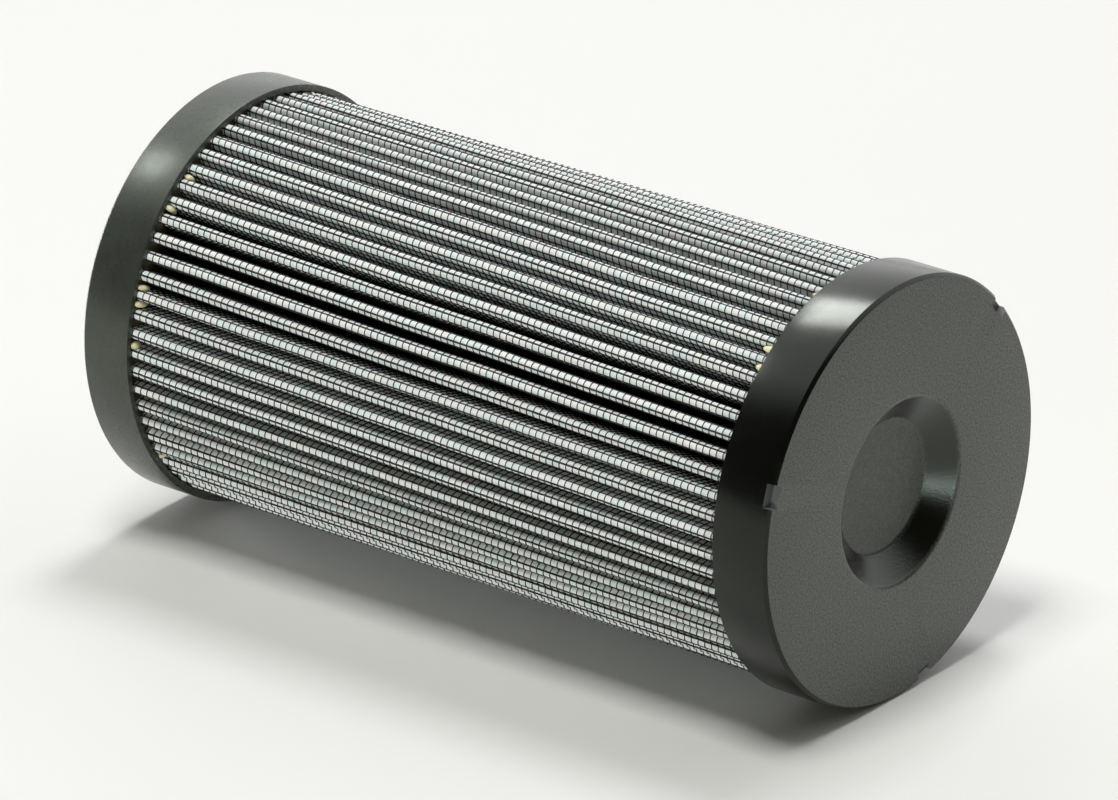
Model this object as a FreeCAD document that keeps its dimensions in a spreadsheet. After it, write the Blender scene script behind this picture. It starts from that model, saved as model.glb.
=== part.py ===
import FreeCAD, Part
import Sketcher
import math
import os

# Pleated filter element of a hydraulic return line.
# It stands on its closed end cap: the origin is the middle of that cap's outer face, Z is the axis,
# and the open cap, whose sealed bore slides onto the filter head's spigot, is at the top.
# All lengths are in millimetres and all angles in degrees.

SIZES = {
    # Whole element
    "element_length": 149.4,
    "cap_diameter": 76.0,
    # End caps, moulded in glass-filled nylon
    "closed_cap_depth": 11.1,
    "open_cap_depth": 10.3,
    "skirt_wall": 1.2,
    "closed_end_wall": 3.6,
    "open_end_wall": 3.6,
    "face_chamfer": 0.6,
    "notch_count": 3,
    "notch_width": 4.2,
    "notch_inset": 2.1,
    "notch_length": 1.6,
    "notch_angle": 30.0,
    "dish_rim": 3.15,
    "dish_run": 5.1,
    "dish_depth": 4.2,
    "dish_blend": 1.2,
    "dish_wall": 2.4,
    # Bore of the open cap and the seal in it
    "bore_diameter": 32.0,
    "bore_length": 8.0,
    "bore_chamfer": 0.8,
    "spigot_wall": 4.05,
    "spigot_clearance": 0.15,
    "seal_section": 2.62,
    "seal_stand_out": 0.2,
    "gland_width": 3.6,
    # Support tube inside the pleats
    "core_wall": 1.8,
    "window_columns": 10,
    "window_rows": 4,
    "window_post": 4.6,
    "window_ring": 4.0,
    "core_land": 11.0,
    # Potting that beds the pleats in the caps
    "potting_recess": 0.8,
    # Pleats
    "pleat_count": 64,
    "pleat_angle": 92.8125,
    "pleat_skirt_clearance": 0.1,
    "pleat_half_width": 1.05,
    "pleat_root_radius": 0.08,
    "pleat_core_clearance": 0.05,
    "outer_mesh_thickness": 0.3,
    "media_thickness": 0.35,
    "inner_mesh_thickness": 0.3,
    # Clip that joins the two ends of the pleated web
    "clip_thickness": 0.3,
    "clip_leg": 4.5,
}

# Sizes that follow from the driving ones, as expressions on the sheet
CAP_RADIUS = "Sizes.cap_diameter / 2"
SKIRT_BORE_RADIUS = "(Sizes.cap_diameter / 2 - Sizes.skirt_wall)"
BORE_RADIUS = "(Sizes.bore_diameter / 2)"
SPIGOT_RADIUS = f"({BORE_RADIUS} + Sizes.spigot_wall)"
CORE_BORE_RADIUS = f"({SPIGOT_RADIUS} + Sizes.spigot_clearance)"
CORE_RADIUS = f"({CORE_BORE_RADIUS} + Sizes.core_wall)"
DISH_MOUTH_RADIUS = f"({SPIGOT_RADIUS} - Sizes.dish_rim)"
DISH_FLOOR_RADIUS = f"({DISH_MOUTH_RADIUS} - Sizes.dish_run)"
DOME_HEIGHT = "(Sizes.dish_depth + Sizes.dish_wall)"
SEAL_INNER_RADIUS = f"({BORE_RADIUS} - Sizes.seal_stand_out)"
GLAND_RADIUS = f"({SEAL_INNER_RADIUS} + Sizes.seal_section)"
GLAND_MIDDLE = "((Sizes.bore_length + Sizes.bore_chamfer) / 2)"
CORE_LENGTH = "(Sizes.element_length - Sizes.closed_end_wall - Sizes.open_end_wall)"
LOWER_POTTING_TOP = "(Sizes.closed_cap_depth - Sizes.potting_recess)"
UPPER_POTTING_FOOT = "(Sizes.element_length - Sizes.open_cap_depth + Sizes.potting_recess)"

# Flat faces that stand for the rounding of a fold, of an edge of the dish and of the seal's section
CREST_FACETS = 3
ROOT_FACETS = 1
DISH_FACETS = 2
SEAL_FACETS = 8

# Least volume, in cubic millimetres, that a cut has to take away
SMALLEST_CUT = 1.0

doc = FreeCAD.newDocument("filter_element")
sheet = doc.addObject("Spreadsheet::Sheet", "Sizes")
for row, (name, number) in enumerate(SIZES.items(), start=1):
    sheet.set(f"A{row}", name)
    sheet.set(f"B{row}", str(number))
    sheet.setAlias(f"B{row}", name)
doc.recompute()


def value(expression):
    """Number that an expression on the sheet gives."""
    result = sheet.evalExpression(expression.replace("Sizes.", ""))
    return float(getattr(result, "Value", result))


# Sketches


def sketch_on(body, role, name):
    """New sketch on one of the body's own origin planes."""
    plane = next(item for item in body.Origin.OriginFeatures if item.Role == role)
    sketch = body.newObject("Sketcher::SketchObject", name)
    sketch.AttachmentSupport = [(plane, "")]
    sketch.MapMode = "FlatFace"
    return sketch


def bind(sketch, kind, first, second, expression):
    """Distance between two sketch points, tied to the sheet."""
    number = sketch.addConstraint(Sketcher.Constraint(kind, *first, *second, value(expression)))
    sketch.setExpression(f"Constraints[{number}]", expression)


def pin_point(sketch, point, across, along):
    """Holds a sketch point at two expressions from the sketch's origin; "0" puts it on an axis."""
    origin = (-1, 1)
    if across == "0":
        sketch.addConstraint(Sketcher.Constraint("PointOnObject", *point, -2))
    else:
        bind(sketch, "DistanceX", origin, point, across)
    if along == "0":
        sketch.addConstraint(Sketcher.Constraint("PointOnObject", *point, -1))
    else:
        bind(sketch, "DistanceY", origin, point, along)


def outline(sketch, corners):
    """Closed outline of straight edges through corners, each a pair of expressions."""
    points = [FreeCAD.Vector(value(across), value(along), 0) for across, along in corners]
    edges = [Part.LineSegment(a, b) for a, b in zip(points, points[1:] + points[:1])]
    first = sketch.GeometryCount
    sketch.addGeometry(edges, False)
    last = first + len(edges) - 1
    for edge in range(first, last):
        sketch.addConstraint(Sketcher.Constraint("Coincident", edge, 2, edge + 1, 1))
    sketch.addConstraint(Sketcher.Constraint("Coincident", last, 2, first, 1))
    for edge, (across, along) in enumerate(corners, start=first):
        pin_point(sketch, (edge, 1), across, along)


def turn(body, kind, sketch, name):
    """Full revolution or groove of a sketch about the element's axis."""
    feature = body.newObject(kind, name)
    feature.Profile = sketch
    feature.ReferenceAxis = (sketch, ["V_Axis"])
    feature.Angle = 360
    return feature


def new_body(label):
    body = doc.addObject("PartDesign::Body", label)
    body.Label = label
    return body


def must_remove(body, before, what):
    """A cut that points away from the solid leaves it as it was and shows no error."""
    if not body.Shape.Volume < before - SMALLEST_CUT:
        raise ValueError(f"{what} removes nothing from {body.Label}")


# Closed end cap: a cup with a thick end wall, a dished middle and three key notches in its rim


def make_closed_end_cap():
    body = new_body("closed_end_cap")
    section = sketch_on(body, "XZ_Plane", "closed_cap_section")
    outline(
        section,
        [
            ("0", "0"),
            (f"{CAP_RADIUS} - Sizes.face_chamfer", "0"),
            (CAP_RADIUS, "Sizes.face_chamfer"),
            (CAP_RADIUS, "Sizes.closed_cap_depth"),
            (SKIRT_BORE_RADIUS, "Sizes.closed_cap_depth"),
            (SKIRT_BORE_RADIUS, "Sizes.closed_end_wall"),
            (SPIGOT_RADIUS, "Sizes.closed_end_wall"),
            (SPIGOT_RADIUS, DOME_HEIGHT),
            ("0", DOME_HEIGHT),
        ],
    )
    turn(body, "PartDesign::Revolution", section, "closed_cap_wall")
    doc.recompute()
    whole = body.Shape.Volume
    dish_section = sketch_on(body, "XZ_Plane", "dish_section")
    outline(dish_section, dish_corners())
    turn(body, "PartDesign::Groove", dish_section, "dish")
    doc.recompute()
    must_remove(body, whole, "dish")
    dished = body.Shape.Volume

    slot = sketch_on(body, "XY_Plane", "notch_sketch")
    floor = f"{CAP_RADIUS} - Sizes.notch_inset"
    beyond = f"{CAP_RADIUS} + Sizes.notch_inset"
    notch_box(slot, floor, beyond)
    notch = body.newObject("PartDesign::Pocket", "notch")
    notch.Profile = slot
    notch.setExpression("Length", "Sizes.notch_length")
    notch.Reversed = True
    doc.recompute()
    must_remove(body, dished, "notch")
    ring = body.newObject("PartDesign::PolarPattern", "notches")
    ring.Originals = [notch]
    ring.Axis = (slot, ["N_Axis"])
    ring.Angle = 360
    ring.setExpression("Occurrences", "Sizes.notch_count")
    body.Tip = ring
    body.Placement.Rotation = FreeCAD.Rotation(FreeCAD.Vector(0, 0, 1), value("Sizes.notch_angle"))
    body.setExpression("Placement.Rotation.Angle", "Sizes.notch_angle")
    return body


def dish_corners():
    """Half section of the dish: a flat floor and a slanting wall, rounded at the floor and the mouth."""
    slope = "atan2(Sizes.dish_depth; Sizes.dish_run)"
    trim = f"Sizes.dish_blend * tan({slope} / 2)"
    mouth = []
    floor = []
    for step in range(DISH_FACETS + 1):
        across = f"Sizes.dish_blend * sin({slope} * {step} / {DISH_FACETS})"
        rise = f"Sizes.dish_blend * (1 - cos({slope} * {step} / {DISH_FACETS}))"
        mouth.append((f"{DISH_MOUTH_RADIUS} + {trim} - {across}", rise if step else "0"))
        floor.append((f"{DISH_FLOOR_RADIUS} - {trim} + {across}", f"Sizes.dish_depth - {rise}"))
    return [("0", "0")] + mouth + floor[::-1] + [("0", "Sizes.dish_depth")]


def notch_box(sketch, near, far):
    """Rectangle on the sketch's X axis from near to far, as wide as a notch."""
    half = value("Sizes.notch_width") / 2
    x0 = value(near)
    x1 = value(far)
    corners = [(x0, -half), (x1, -half), (x1, half), (x0, half)]
    points = [FreeCAD.Vector(x, y, 0) for x, y in corners]
    sketch.addGeometry([Part.LineSegment(a, b) for a, b in zip(points, points[1:] + points[:1])], False)
    for edge in range(4):
        sketch.addConstraint(Sketcher.Constraint("Coincident", edge, 2, (edge + 1) % 4, 1))
    sketch.addConstraint(Sketcher.Constraint("Horizontal", 0))
    sketch.addConstraint(Sketcher.Constraint("Horizontal", 2))
    sketch.addConstraint(Sketcher.Constraint("Symmetric", 1, 1, 1, 2, -1))
    bind(sketch, "DistanceX", (-1, 1), (0, 1), near)
    bind(sketch, "DistanceX", (-1, 1), (2, 2), near)
    bind(sketch, "DistanceX", (-1, 1), (0, 2), far)
    bind(sketch, "DistanceY", (1, 1), (1, 2), "Sizes.notch_width")


# Open end cap: drawn with its outer face at Z = 0 and turned over onto the top of the element


def make_open_end_cap():
    body = new_body("open_end_cap")
    section = sketch_on(body, "XZ_Plane", "open_cap_section")
    outline(
        section,
        [
            (f"{BORE_RADIUS} + Sizes.bore_chamfer", "0"),
            (f"{CAP_RADIUS} - Sizes.face_chamfer", "0"),
            (CAP_RADIUS, "Sizes.face_chamfer"),
            (CAP_RADIUS, "Sizes.open_cap_depth"),
            (SKIRT_BORE_RADIUS, "Sizes.open_cap_depth"),
            (SKIRT_BORE_RADIUS, "Sizes.open_end_wall"),
            (SPIGOT_RADIUS, "Sizes.open_end_wall"),
            (SPIGOT_RADIUS, "Sizes.bore_length"),
            (BORE_RADIUS, "Sizes.bore_length"),
            (BORE_RADIUS, "Sizes.bore_chamfer"),
        ],
    )
    turn(body, "PartDesign::Revolution", section, "open_cap_wall")
    doc.recompute()
    whole = body.Shape.Volume
    gland = sketch_on(body, "XZ_Plane", "gland_section")
    near = f"{GLAND_MIDDLE} - Sizes.gland_width / 2"
    far = f"{GLAND_MIDDLE} + Sizes.gland_width / 2"
    corners = [(SEAL_INNER_RADIUS, near), (GLAND_RADIUS, near)]
    outline(gland, corners + [(GLAND_RADIUS, far), (SEAL_INNER_RADIUS, far)])
    turn(body, "PartDesign::Groove", gland, "gland")
    doc.recompute()
    must_remove(body, whole, "gland")
    turn_over(body)
    return body


def turn_over(body):
    """Puts a piece drawn from the open cap's outer face down onto the top of the element."""
    body.Placement.Rotation = FreeCAD.Rotation(FreeCAD.Vector(1, 0, 0), 180)
    body.setExpression("Placement.Base.z", "Sizes.element_length")


def make_bore_seal():
    """O-ring seated against the bottom of the gland, with its inside standing a little into the bore."""
    body = new_body("bore_seal")
    section = sketch_on(body, "XZ_Plane", "seal_section_sketch")
    step = 360 / SEAL_FACETS
    reach = f"Sizes.seal_section / 2 / cos({step / 2})"
    middle = f"({GLAND_RADIUS} - Sizes.seal_section / 2)"
    corners = []
    for index in range(SEAL_FACETS):
        angle = (index + 0.5) * step
        corners.append((f"{middle} + {reach} * cos({angle})", f"{GLAND_MIDDLE} + {reach} * sin({angle})"))
    outline(section, corners)
    turn(body, "PartDesign::Revolution", section, "seal_ring")
    turn_over(body)
    return body


# Support tube: posts and rings with a window between each pair


def make_core_tube():
    body = new_body("core_tube")
    section = sketch_on(body, "XZ_Plane", "core_section")
    corners = [(CORE_BORE_RADIUS, "0"), (CORE_RADIUS, "0")]
    corners += [(CORE_RADIUS, CORE_LENGTH), (CORE_BORE_RADIUS, CORE_LENGTH)]
    outline(section, corners)
    turn(body, "PartDesign::Revolution", section, "core_wall_tube")
    doc.recompute()
    whole = body.Shape.Volume

    rows = round(value("Sizes.window_rows"))
    height = (
        f"(({CORE_LENGTH} - 2 * Sizes.core_land - (Sizes.window_rows - 1) * Sizes.window_ring)"
        " / Sizes.window_rows)"
    )
    width = f"(2 * pi * {CORE_RADIUS} / Sizes.window_columns - Sizes.window_post)"
    windows = sketch_on(body, "XZ_Plane", "window_sketch")
    for index in range(rows):
        foot = f"Sizes.core_land + {index} * ({height} + Sizes.window_ring)"
        window_box(windows, width, foot, height)
    column = body.newObject("PartDesign::Pocket", "window_column")
    column.Profile = windows
    column.setExpression("Length", f"{CORE_RADIUS} + Sizes.core_wall")
    doc.recompute()
    must_remove(body, whole, "window column")
    ring = body.newObject("PartDesign::PolarPattern", "window_columns")
    ring.Originals = [column]
    ring.Axis = (section, ["V_Axis"])
    ring.Angle = 360
    ring.setExpression("Occurrences", "Sizes.window_columns")
    body.Tip = ring
    body.setExpression("Placement.Base.z", "Sizes.closed_end_wall")
    return body


def window_box(sketch, width, foot, height):
    """Rectangle centred on the sketch's Y axis, its lower edge at foot."""
    half = value(width) / 2
    low = value(foot)
    high = low + value(height)
    corners = [(-half, low), (half, low), (half, high), (-half, high)]
    points = [FreeCAD.Vector(x, y, 0) for x, y in corners]
    first = sketch.GeometryCount
    sketch.addGeometry([Part.LineSegment(a, b) for a, b in zip(points, points[1:] + points[:1])], False)
    for edge in range(4):
        ends = Sketcher.Constraint("Coincident", first + edge, 2, first + (edge + 1) % 4, 1)
        sketch.addConstraint(ends)
    sketch.addConstraint(Sketcher.Constraint("Horizontal", first + 2))
    sketch.addConstraint(Sketcher.Constraint("Symmetric", first, 1, first, 2, -2))
    sketch.addConstraint(Sketcher.Constraint("Vertical", first + 1))
    sketch.addConstraint(Sketcher.Constraint("Vertical", first + 3))
    bind(sketch, "DistanceX", (first, 1), (first, 2), width)
    bind(sketch, "DistanceY", (-1, 1), (first, 1), foot)
    bind(sketch, "DistanceY", (first + 1, 1), (first + 1, 2), height)


# Potting: a ring of adhesive that fills each cap between its skirt and the core


def make_potting(label, foot, height):
    ring = doc.addObject("Part::Cylinder", f"{label}_fill")
    ring.setExpression("Radius", SKIRT_BORE_RADIUS)
    hole = doc.addObject("Part::Cylinder", f"{label}_core_hole")
    hole.setExpression("Radius", CORE_RADIUS)
    for cylinder in (ring, hole):
        cylinder.setExpression("Height", height)
        cylinder.setExpression("Placement.Base.z", foot)
    potting = doc.addObject("Part::Cut", label)
    potting.Label = label
    potting.Base = ring
    potting.Tool = hole
    return potting


# Pleats: every layer of the web follows the same folds at its own depth under the outer face.
# A fold is a circle round the crest's centre or the root's centre, drawn with flat facets that
# touch that circle, and the flanks are the lines that touch both circles.


def unit(angle):
    return FreeCAD.Vector(math.cos(angle), math.sin(angle), 0)


class Folds:
    def __init__(self):
        self.count = round(value("Sizes.pleat_count"))
        self.half_pitch = math.pi / self.count
        self.start = math.radians(value("Sizes.pleat_angle"))
        self.half_width = value("Sizes.pleat_half_width")
        self.root_radius = value("Sizes.pleat_root_radius")
        self.clip = value("Sizes.clip_thickness")
        web = value("Sizes.outer_mesh_thickness + Sizes.media_thickness + Sizes.inner_mesh_thickness")
        seat = value(f"{CORE_RADIUS} + Sizes.pleat_core_clearance")
        self.root_centre = seat + self.root_radius + web
        reach = value(f"{SKIRT_BORE_RADIUS} - Sizes.pleat_skirt_clearance")
        self.crest_centre = reach - self.half_width

    def centre(self, pleat):
        """Distance of a crest's centre from the axis: the seam pleat leaves room for its clip."""
        return self.crest_centre - (self.clip if pleat % self.count == 0 else 0)

    def flank_angle(self, pleat):
        """Angle between a pleat's middle plane and the outward normal of its flank."""
        across = unit(self.half_pitch) * self.root_centre - FreeCAD.Vector(self.centre(pleat), 0, 0)
        reach = math.acos((self.half_width + self.root_radius) / across.Length)
        return math.atan2(across.y, across.x) - reach

    def crest(self, pleat, depth, facets):
        """Corners over a crest, in the pleat's own frame with X along its middle plane."""
        flank = self.flank_angle(pleat)
        step = 2 * flank / (facets + 1)
        reach = (self.half_width - depth) / math.cos(step / 2)
        middle = FreeCAD.Vector(self.centre(pleat), 0, 0)
        return [middle + unit((j + 0.5) * step - flank) * reach for j in range(facets + 1)]

    def root(self, pleat, depth, facets):
        """Corners round the root that follows a pleat, in that pleat's own frame."""
        flank = self.flank_angle(pleat)
        step = (flank + self.flank_angle(pleat + 1) - 2 * self.half_pitch) / (facets + 1)
        reach = (self.root_radius + depth) / math.cos(step / 2)
        middle = unit(self.half_pitch) * self.root_centre
        return [middle - unit(flank - (j + 0.5) * step) * reach for j in range(facets + 1)]

    def placed(self, pleat, points):
        """Points of a pleat's own frame, turned to its place round the axis."""
        turned = FreeCAD.Rotation(FreeCAD.Vector(0, 0, 1), math.degrees(self.turned(pleat)))
        return [turned.multVec(point) for point in points]

    def turned(self, pleat):
        return self.start + 2 * pleat * self.half_pitch

    def surface(self, depth, crest_facets, root_facets):
        """Closed outline of the web's surface that lies depth under its outer face."""
        points = []
        for pleat in range(self.count):
            corners = self.crest(pleat, depth, crest_facets) + self.root(pleat, depth, root_facets)
            points += self.placed(pleat, corners)
        return points

    def clip_section(self, leg):
        """Outline of the clip that grips the seam pleat from outside."""
        flank = self.flank_angle(0)
        middle = FreeCAD.Vector(self.centre(0), 0, 0)
        inward = FreeCAD.Vector(-math.sin(flank), math.cos(flank), 0)
        points = []
        for depth in (0, -self.clip):
            tip = middle + unit(flank) * (self.half_width - depth) + inward * leg
            mirrored = FreeCAD.Vector(tip.x, -tip.y, 0)
            side = [mirrored] + self.crest(0, depth, CREST_FACETS) + [tip]
            points += side if depth == 0 else side[::-1]
        return self.placed(0, points)


def closed_wire(points):
    return Part.makePolygon(points + points[:1])


def make_sheet(label, outer, inner):
    """One layer of the web between two surfaces, standing between the two rings of potting."""
    layer = doc.addObject("Part::Feature", label)
    layer.Label = label
    wires = [closed_wire(outer)] + ([closed_wire(inner[::-1])] if inner else [])
    height = value(f"{UPPER_POTTING_FOOT} - {LOWER_POTTING_TOP}")
    layer.Shape = Part.Face(wires).extrude(FreeCAD.Vector(0, 0, height))
    layer.setExpression("Placement.Base.z", LOWER_POTTING_TOP)
    return layer


def make_pleats():
    folds = Folds()
    mesh_back = value("Sizes.outer_mesh_thickness")
    media_back = mesh_back + value("Sizes.media_thickness")
    web_back = media_back + value("Sizes.inner_mesh_thickness")
    skin = folds.surface(0, CREST_FACETS, ROOT_FACETS)
    under_mesh = folds.surface(mesh_back, CREST_FACETS, ROOT_FACETS)
    under_media = folds.surface(media_back, ROOT_FACETS, ROOT_FACETS)
    inside = folds.surface(web_back, ROOT_FACETS, ROOT_FACETS)
    return [
        make_sheet("outer_mesh", skin, under_mesh),
        make_sheet("filter_media", under_mesh, under_media),
        make_sheet("inner_mesh", under_media, inside),
        make_sheet("seam_clip", folds.clip_section(value("Sizes.clip_leg")), None),
    ]


lower_height = f"{LOWER_POTTING_TOP} - Sizes.closed_end_wall"
upper_height = f"Sizes.element_length - Sizes.open_end_wall - {UPPER_POTTING_FOOT}"
nodes = [
    make_closed_end_cap(),
    make_open_end_cap(),
    make_bore_seal(),
    make_core_tube(),
    make_potting("lower_potting", "Sizes.closed_end_wall", lower_height),
    make_potting("upper_potting", UPPER_POTTING_FOOT, upper_height),
    *make_pleats(),
]
doc.recompute()

# Nothing is written unless every piece is sound

for item in doc.Objects:
    if "Invalid" in item.State or "Error" in item.State:
        raise ValueError(f"{item.Label} failed: {item.State}")
for node in nodes:
    if node.Shape.isNull() or not node.Shape.isValid():
        raise ValueError(f"{node.Label} has no sound shape")
    if len(node.Shape.Solids) != 1:
        raise ValueError(f"{node.Label} holds {len(node.Shape.Solids)} solids, not one")

os.makedirs("parts", exist_ok=True)
for node in nodes:
    node.Shape.exportStep(f"parts/{node.Label}.step")
    print(f"{node.Label}: {node.Shape.Volume:.1f} mm3")
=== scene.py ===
import math

import bmesh
import bpy
from mathutils import Matrix, Vector


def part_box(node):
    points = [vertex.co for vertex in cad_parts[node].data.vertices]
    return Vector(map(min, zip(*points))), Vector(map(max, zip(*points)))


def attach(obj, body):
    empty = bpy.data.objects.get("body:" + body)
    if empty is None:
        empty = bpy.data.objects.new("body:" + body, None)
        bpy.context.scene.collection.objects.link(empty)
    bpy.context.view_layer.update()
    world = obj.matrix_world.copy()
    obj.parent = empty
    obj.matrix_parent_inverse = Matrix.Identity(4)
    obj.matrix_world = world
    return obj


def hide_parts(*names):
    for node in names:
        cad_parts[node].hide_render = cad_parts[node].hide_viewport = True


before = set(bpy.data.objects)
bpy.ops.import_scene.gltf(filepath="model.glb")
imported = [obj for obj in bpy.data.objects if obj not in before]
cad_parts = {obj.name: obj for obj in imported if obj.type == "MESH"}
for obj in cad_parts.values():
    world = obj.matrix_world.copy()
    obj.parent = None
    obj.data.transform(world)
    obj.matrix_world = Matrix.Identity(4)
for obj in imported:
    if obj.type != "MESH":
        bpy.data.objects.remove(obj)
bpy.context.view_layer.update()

# Pleated filter element, seen lying on its side.
# The frame's origin is the middle of the closed cap's face and Z is the element's axis.

MM = 0.001

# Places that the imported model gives

closed_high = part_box("closed_end_cap")[1]
open_low, open_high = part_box("open_end_cap")
web_low, web_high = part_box("outer_mesh")
core_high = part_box("core_tube")[1]
seal_low, seal_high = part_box("bore_seal")
CAP_RADIUS = closed_high.x
LENGTH = open_high.z
CORE_RADIUS = core_high.x
SEAL_HEIGHT = (seal_low.z + seal_high.z) / 2

# Caps

SKIRT_BORE = CAP_RADIUS - 1.2 * MM
END_WALL = 3.6 * MM
SPIGOT_RADIUS = CORE_RADIUS - 1.95 * MM
BORE_RADIUS = 16 * MM
BORE_LENGTH = 8 * MM
EDGE_CUT = 0.6 * MM
EDGE_SOFTNESS = 0.14 * MM
BORE_CHAMFER = 0.8 * MM
DISH_MOUTH = SPIGOT_RADIUS - 3.15 * MM
DISH_FLOOR = DISH_MOUTH - 5.1 * MM
DISH_DEPTH = 4.2 * MM
DISH_BLEND = 1.2 * MM
DISH_WALL = 2.4 * MM
NOTCH_COUNT = 3
NOTCH_ANGLE = math.radians(30)
NOTCH_WIDTH = 4.2 * MM
NOTCH_INSET = 2.1 * MM
NOTCH_LENGTH = 1.6 * MM
SEAL_SECTION = 2.62 * MM
SEAL_INNER = BORE_RADIUS - 0.2 * MM
GLAND_WIDTH = 3.6 * MM
GLAND_RADIUS = SEAL_INNER + SEAL_SECTION
TURN_STEPS = 256

# Pleats

PLEATS = 64
HALF_PITCH = math.pi / PLEATS
SEAM_ANGLE = math.radians(93.2)
FOOT = web_low.z
HEAD = web_high.z
MIDDLE = 77.1 * MM
TWIST = math.radians(1.5) / (38 * MM)
CREST_RADIUS = SKIRT_BORE - 0.1 * MM
FOLD_HALF_WIDTH = 1.05 * MM
FOLD_ROOT = 0.08 * MM
WEB_THICKNESS = 0.95 * MM
CREST_CENTRE = CREST_RADIUS - FOLD_HALF_WIDTH
ROOT_CENTRE = CORE_RADIUS + 0.05 * MM + FOLD_ROOT + WEB_THICKNESS
WOBBLE = 0.30 * MM
WOBBLE_SCALE = 45
CLIP_DEPTH = -0.03 * MM
CLIP_THICKNESS = 0.3 * MM
CLIP_LEG = 4.5 * MM

# Wire cloth

WIRE_PITCH = 1.41 * MM
WIRE = 0.35 * MM
WIRE_SIDES = 3
PITCH_SHIFT = 0.381
HOOPS = 92
STRAND_STEPS = 12
HOOP_DEPTH = 0.15 * MM
STRAND_DEPTH = 0.16 * MM
MEDIA_DEPTH = 0.15 * MM
MEDIA_BACK = 0.72 * MM
INNER_HOOP_DEPTH = 0.84 * MM

# View of the photograph: lengths in cap radii, in a frame turned by one degree about the axis

VIEW_TURN = Matrix.Rotation(math.radians(1), 4, "Z")
LENS_PLACE = Vector((6.037, -34.195, -22.051))
LENS_RIGHT = Vector((0.2000, 0.5860, -0.7852))
LENS_FORWARD = Vector((-0.1446, 0.8103, 0.5679))
LENS_LENGTH = 298.9
FLOOR_UP = Vector((0.9463, -0.3230, 0))
ALONG = Vector((0, 0, 1))
ACROSS = ALONG.cross(FLOOR_UP)


# Node trees


class Wire:
    """A value that travels between nodes, and can be used in a sum."""

    def __init__(self, sheet, socket):
        self.sheet = sheet
        self.socket = socket

    def sum(self, operation, first, second):
        return self.sheet.node("ShaderNodeMath", {"operation": operation}, {0: first, 1: second})

    def __add__(self, other):
        return self.sum("ADD", self, other)

    def __radd__(self, other):
        return self.sum("ADD", other, self)

    def __sub__(self, other):
        return self.sum("SUBTRACT", self, other)

    def __rsub__(self, other):
        return self.sum("SUBTRACT", other, self)

    def __mul__(self, other):
        return self.sum("MULTIPLY", self, other)

    def __rmul__(self, other):
        return self.sum("MULTIPLY", other, self)

    def __truediv__(self, other):
        return self.sum("DIVIDE", self, other)

    def __pow__(self, other):
        return self.sum("POWER", self, other)

    def other(self, name):
        """Another output of the same node."""
        return Wire(self.sheet, self.socket.node.outputs[name])


class Sheet:
    """A node tree while it is drawn."""

    def __init__(self, tree):
        self.tree = tree

    def node(self, kind, settings=None, values=None, output=0):
        """Adds any node: its settings first, then the values or links of its inputs."""
        made = self.tree.nodes.new(kind)
        for name, setting in (settings or {}).items():
            setattr(made, name, setting)
        for name, value in (values or {}).items():
            self.feed(made.inputs[name], value)
        return Wire(self, made.outputs[output]) if made.outputs else None

    def feed(self, socket, value):
        if isinstance(value, Wire):
            self.tree.links.new(value.socket, socket)
        else:
            socket.default_value = value

    def limit(self, value, low, high):
        """0 at low and 1 at high, smoothly in between."""
        ends = {"Value": value, "From Min": low, "From Max": high}
        return self.node("ShaderNodeMapRange", {"interpolation_type": "SMOOTHSTEP"}, ends)

    def blend(self, factor, first, second):
        """Colour between two colours."""
        colours = {"Factor": factor, 6: first, 7: second}
        return self.node("ShaderNodeMix", {"data_type": "RGBA"}, colours, 2)

    def noise(self, place, scale, detail=2, roughness=0.5):
        values = {"Vector": place, "Scale": scale, "Detail": detail, "Roughness": roughness}
        return self.node("ShaderNodeTexNoise", None, values)

    def split(self, vector):
        """The X, Y and Z of a vector."""
        parts = self.node("ShaderNodeSeparateXYZ", None, {0: vector})
        return parts, parts.other("Y"), parts.other("Z")

    def scaled(self, vector, factor):
        return self.node("ShaderNodeVectorMath", {"operation": "SCALE"}, {0: vector, "Scale": factor})

    def added(self, first, second):
        return self.node("ShaderNodeVectorMath", {"operation": "ADD"}, {0: first, 1: second})


class Finish(Sheet):
    """A material with one main shader."""

    def __init__(self, name, **constants):
        self.material = bpy.data.materials.new(name)
        self.material.use_nodes = True
        super().__init__(self.material.node_tree)
        self.tree.nodes.clear()
        self.shader = self.node("ShaderNodeBsdfPrincipled")
        inputs = self.shader.socket.node.inputs
        for socket, value in constants.items():
            inputs[socket.replace("_", " ")].default_value = value
        self.node("ShaderNodeOutputMaterial", None, {"Surface": self.shader})
        self.place = self.node("ShaderNodeTexCoord", None, None, "Object")

    def use(self, **values):
        """Feeds the main shader's own inputs."""
        for socket, value in values.items():
            self.feed(self.shader.socket.node.inputs[socket.replace("_", " ")], value)

    def bump(self, height, strength, distance):
        values = {"Height": height, "Strength": strength, "Distance": distance}
        return self.node("ShaderNodeBump", None, values)

    def radius(self):
        """Distance of the shaded point from the element's axis."""
        x, y = self.split(self.place)[:2]
        return (x * x + y * y) ** 0.5


def grey(level, warmth=0.0):
    return (level * (1 + warmth), level, level * (1 - warmth), 1)


def olive(level):
    """The faintly green black of the moulded nylon."""
    return (level * 0.90, level, level * 0.87, 1)


# Finishes


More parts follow.
